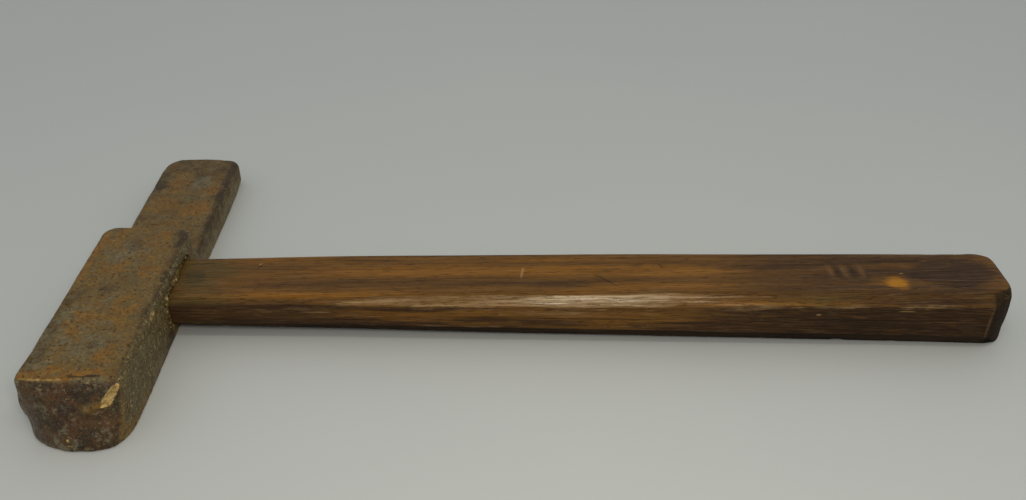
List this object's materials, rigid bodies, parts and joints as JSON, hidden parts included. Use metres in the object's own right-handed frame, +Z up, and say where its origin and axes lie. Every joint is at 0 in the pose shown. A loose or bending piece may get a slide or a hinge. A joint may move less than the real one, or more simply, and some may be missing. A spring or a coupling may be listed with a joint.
{
  "type": "hafted brick bolster",
  "caption": "Forged striking block with a flat half-thickness tongue, wedged across the end of an octagonal wooden handle.",
  "frame": {"origin": "on the flat cheek that the tool lies on, straight under the middle of the eye", "axes": "+X along the handle to its butt, +Y along the head to the end of the tongue, +Z up from the resting cheek"},
  "size_m": [0.4615, 0.2377, 0.0318],
  "materials": {
    "forged_steel": "forged steel, rusted and pitted, with worn grey-blue patches and a rough olive-brown side",
    "haft_wood": "old dark hardwood, hand-worn, with open grain and a dull polish along its ridges",
    "packing": "hardened resin and grit, crumbling and dull",
    "wedge_wood": "hardwood end grain, dry and dirty",
    "wedge_steel": "mild steel, rusted, with hammered ends"
  },
  "bodies": {
    "root": {"head": "forged_steel", "handle": "haft_wood", "eye_packing": "packing", "wooden_wedge": "wedge_wood", "steel_wedge_front": "wedge_steel", "steel_wedge_back": "wedge_steel"}
  },
  "joints": []
}
